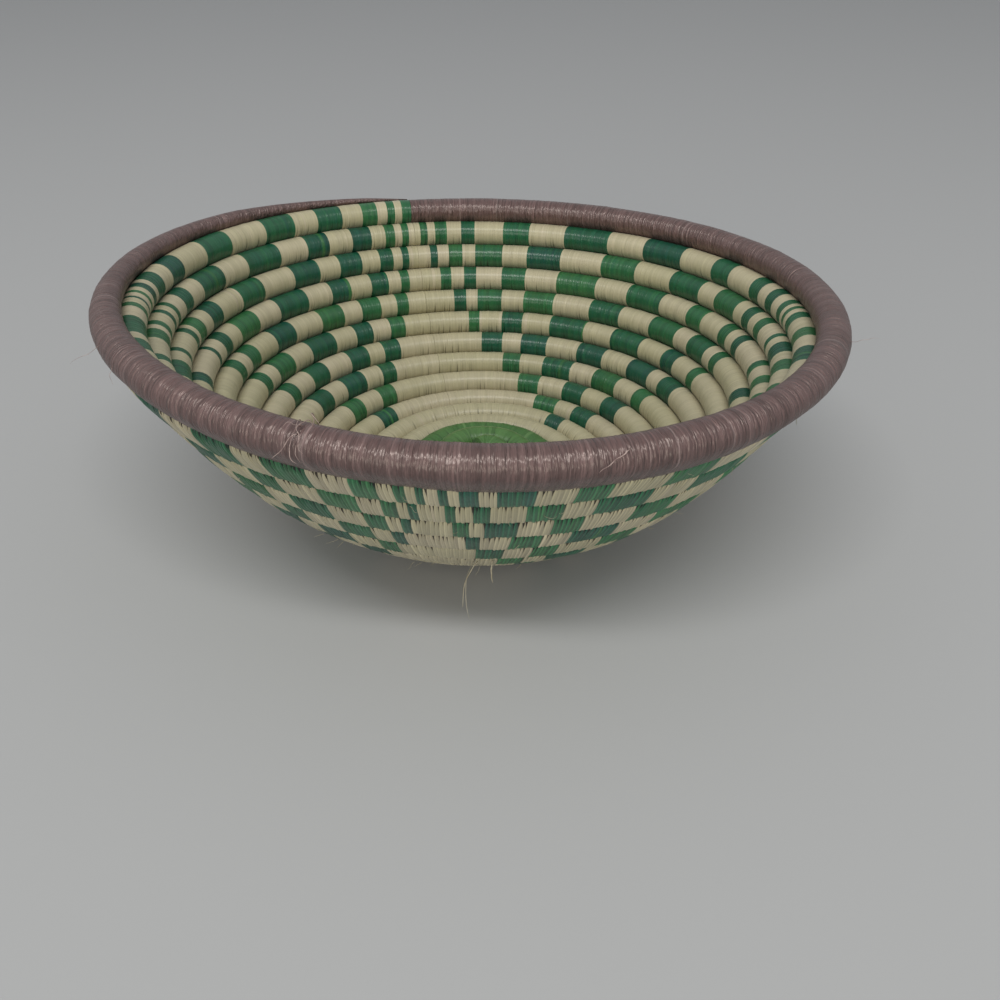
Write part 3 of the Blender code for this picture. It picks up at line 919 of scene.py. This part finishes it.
def fibre_grid(starts, first, last, lengths, thickness, rng):
    """Rings of tubes along the paths start + sum of direction * length / points.

    The direction turns evenly from first to last, with two sine waves added. A tube
    thins out towards its tip.
    """
    share = np.linspace(0.0, 1.0, FIBRE_POINTS)[None, :, None]
    number = len(starts)
    wave = 0.0
    for turns, size in FIBRE_WAVES:
        stray = rng.normal(0.0, size, (number, 1, 3))
        phase = rng.uniform(0.0, 6.0, (number, 1, 3))
        wave = wave + stray * np.sin(turns * math.pi * share + phase)
    direction = unit(first[:, None, :] * (1.0 - share) + last[:, None, :] * share + wave)
    steps = direction * (lengths / (FIBRE_POINTS - 1))[:, None, None]
    path = starts[:, None, :] + np.cumsum(steps, axis=1) - steps
    path[..., 2] = np.maximum(path[..., 2], FIBRE_CLEARANCE)
    along = unit(np.gradient(path, axis=1))
    side = unit(np.cross(along, ANY_DIRECTION))
    other = np.cross(along, side)
    turn = np.linspace(0.0, 2.0 * math.pi, FIBRE_SIDES, endpoint=False)[:, None]
    radius = 0.5 * thickness[:, None] * (1.0 - FIBRE_TAPER * share[..., 0] ** 3)
    ring = side[:, :, None, :] * np.cos(turn) + other[:, :, None, :] * np.sin(turn)
    return path[:, :, None, :] + ring * radius[:, :, None, None]


def fibre_piece(name, grid, material):
    """One mesh of many closed tubes."""
    number, columns, rows = grid.shape[:3]
    corners = columns * rows
    faces, caps = [], []
    for base in range(0, number * corners, corners):
        faces.append(tube_faces(columns, rows)[:, ::-1] + base)
        caps.append(tuple(range(base, base + rows)))
        caps.append(tuple(range(base + corners - 1, base + corners - rows - 1, -1)))
    mesh = bpy.data.meshes.new(name)
    mesh.from_pydata(grid.reshape(-1, 3).tolist(), [], np.concatenate(faces).tolist() + caps)
    mesh.polygons.foreach_set("use_smooth", np.ones(len(mesh.polygons), dtype=bool))
    piece = place_object(name, mesh, material)
    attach(piece, "root")
    return piece


def make_fibre(name, pale, deep):
    """A fine fibre: two tones in soft patches along it."""
    material, shader = new_material(name, 0.45)
    place = add_node(material, "ShaderNodeTexCoord")
    patches = add_node(material, "ShaderNodeTexNoise")
    set_inputs(patches, {"Scale": 400.0})
    ramp = add_ramp(material, ((0.35, deep), (0.65, pale)))
    link(place, "Object", patches, "Vector")
    link(patches, "Fac", ramp, "Fac")
    link(ramp, "Color", shader, "Base Color")
    return material


# %% Grow the fibres
FIBRE_SEED = 77
HAIRS = 90
HAIR_LENGTHS = (1.5, 4.5)       # in millimetres
HAIR_THICKNESS = (0.08, 0.16)
HAIR_DEGREES = (-110.0, -50.0)  # where round the section they start, on the outside

# Place on the spiral, degrees round the section, length and thickness in millimetres,
# first and last direction
TUFT = (
    (15.0150, 35, 10.0, 0.20, (0.2, -0.3, 0.9), (-0.3, -0.8, -0.9)),
    (15.0110, 50, 9.0, 0.22, (0.3, 0.0, 0.9), (0.2, -0.9, -0.9)),
    (15.0125, 30, 9.0, 0.18, (-0.1, -0.3, 0.9), (-0.6, -0.5, -1.0)),
    (15.0105, 45, 8.0, 0.20, (-0.5, 0.0, 0.9), (0.3, -0.6, -1.0)),
    (15.0135, 0, 9.0, 0.24, (-0.5, -0.6, 0.1), (-0.5, -0.1, -1.0)),
    (15.0140, 5, 7.0, 0.20, (0.1, -0.8, 0.2), (0.3, -0.2, -1.0)),
    (15.0130, 15, 9.0, 0.18, (-0.4, -0.6, -0.2), (0.6, -0.3, -0.9)),
    (15.0155, -15, 7.0, 0.20, (-0.2, -0.6, -0.5), (0.7, -0.1, -0.7)),
    (14.9060, -5, 10.0, 0.30, (-0.6, -0.7, -0.1), (-0.9, -0.3, -0.5)),
    (15.1250, -35, 10.0, 0.10, (-0.9, -0.1, -0.4), (-0.8, -0.2, -0.6)),
    (15.1080, -40, 6.0, 0.10, (-0.3, -0.3, -0.8), (0.1, -0.2, -1.0)),
    (14.7700, -30, 8.0, 0.10, (0.8, -0.2, 0.3), (0.9, 0.1, 0.0)),
)
HANGING = (
    (8.9560, -64, 14.0, 0.30, (-0.5, -0.6, -0.5), (0.0, -0.4, -1.0)),
    (8.9480, -60, 6.5, 0.55, (-0.2, -0.7, -0.7), (0.2, -0.1, -1.0)),
    (8.9580, -64, 18.0, 0.16, (-0.3, -0.7, -0.3), (0.3, -0.3, -1.0)),
)


def grow(table, rng):
    """Fibres from a table like those above."""
    columns = [np.array(column, dtype=float) for column in zip(*table)]
    rounds, degrees, lengths, thickness, first, last = columns
    starts = skin_point(rounds, degrees)[0]
    return fibre_grid(starts, unit(first), unit(last), lengths * MM, thickness * MM, rng)


def grow_hairs(number, low, high, rng):
    """Short hairs at random places on the outside between two rounds.

    Each leaves the skin steeply and then bends over to one side.
    """
    rounds = rng.uniform(low, high, number)
    starts, outward, along = skin_point(rounds, rng.uniform(*HAIR_DEGREES, number))
    side = along * rng.choice((-1.0, 1.0), number)[:, None]
    first = unit(outward * 0.8 + side * 0.6)
    last = unit(outward * 0.4 + side * 0.8 + rng.normal(0.0, 0.5, (number, 3)))
    lengths = rng.uniform(*HAIR_LENGTHS, number) * MM
    return fibre_grid(starts, first, last, lengths, rng.uniform(*HAIR_THICKNESS, number) * MM, rng)


fibre_rng = np.random.default_rng(FIBRE_SEED)
mauve_fibre = make_fibre("mauve_fibre", (0.52, 0.40, 0.36), (0.20, 0.13, 0.12))
natural_fibre = make_fibre("natural_fibre", (0.52, 0.47, 0.34), (0.38, 0.33, 0.22))
fibres = [
    fibre_piece("rim_loose_fibres", grow(TUFT, fibre_rng), mauve_fibre),
    fibre_piece("base_loose_fibres", grow(HANGING, fibre_rng), natural_fibre),
    fibre_piece("outside_hairs", grow_hairs(HAIRS, START_ROUNDS + 6.0, ROUNDS - 1.0, fibre_rng),
                natural_fibre),
]
print("faces in the loose fibres", [len(piece.data.polygons) for piece in fibres])

# %% [markdown]
# ## Floor, light and camera
#
# The bowl stands on a plain pale table in an even, bright room. A long lamp hangs high in
# front of it. Because that lamp is narrow from front to back, it draws a fine line of
# light along each coil. A large, weak and slightly warm lamp stands low in front, to the
# left, and lightens the outside of the wall. The camera looks down on the bowl from the
# front.

# %% Floor
TABLE_HALF = 6.0


def make_floor():
    """A plain matt table."""
    material, shader = new_material("pale_table", 0.7)
    set_inputs(shader, {"Base Color": (0.43, 0.435, 0.44, 1.0), "Specular IOR Level": 0.2})
    x = y = TABLE_HALF
    corners = [(-x, -y, 0.0), (x, -y, 0.0), (x, y, 0.0), (-x, y, 0.0)]
    mesh = bpy.data.meshes.new("table")
    mesh.from_pydata(corners, [], [(0, 1, 2, 3)])
    return place_object("table", mesh, material)


make_floor()

# %% Lamps and sky
LAMP_TARGET = Vector((0.0, 0.0, 0.05))
scene = bpy.context.scene
scene.view_settings.view_transform = "Standard"


def add_lamp(name, place, length, width, power, colour):
    """A long level area lamp at a place, turned to the bowl."""
    data = bpy.data.lights.new(name, "AREA")
    data.shape = "RECTANGLE"
    data.size = length
    data.size_y = width
    data.energy = power
    data.color = colour
    lamp = bpy.data.objects.new(name, data)
    lamp.location = place
    lamp.rotation_euler = (LAMP_TARGET - Vector(place)).to_track_quat("-Z", "Y").to_euler()
    lamp.visible_camera = False
    scene.collection.objects.link(lamp)


add_lamp("key_softbox", (-0.11, -0.80, 1.44), 1.40, 0.17, 14.5, (1.0, 0.99, 0.96))
add_lamp("front_fill", (-0.48, -2.50, 0.82), 2.0, 1.2, 21.5, (1.0, 0.96, 0.86))
scene.world = bpy.data.worlds.new("even_sky")
scene.world.use_nodes = True
set_inputs(scene.world.node_tree.nodes["Background"],
           {"Color": (0.96, 0.98, 1.0, 1.0), "Strength": 0.44})

# %% Camera
CAMERA_PLACE = (0.0006, -0.2997, 0.1956)
CAMERA_TILT = 33.84             # degrees below the horizon
CAMERA_YAW = 1.60               # degrees to the right
camera_data = bpy.data.cameras.new("camera")
camera_data.sensor_width = 36.0
camera_data.lens = 36.0
camera = bpy.data.objects.new("camera", camera_data)
camera.location = CAMERA_PLACE
camera.rotation_euler = (math.radians(90.0 - CAMERA_TILT), 0.0, math.radians(-CAMERA_YAW))
scene.collection.objects.link(camera)
scene.camera = camera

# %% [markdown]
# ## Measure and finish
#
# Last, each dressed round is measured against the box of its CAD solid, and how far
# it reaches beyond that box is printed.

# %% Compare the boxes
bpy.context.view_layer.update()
for node, (piece, count) in sewn.items():
    co = np.empty(len(piece.data.vertices) * 3, dtype=np.float32)
    piece.data.vertices.foreach_get("co", co)
    co = co.reshape(-1, 3)
    low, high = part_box(node)
    more = np.maximum(np.array(low) - co.min(0), co.max(0) - np.array(high)) / MM
    print(f"{node}: {count} stitches, {2 * len(piece.data.polygons)} triangles,",
          f"beyond its solid by {more.round(2)} mm")
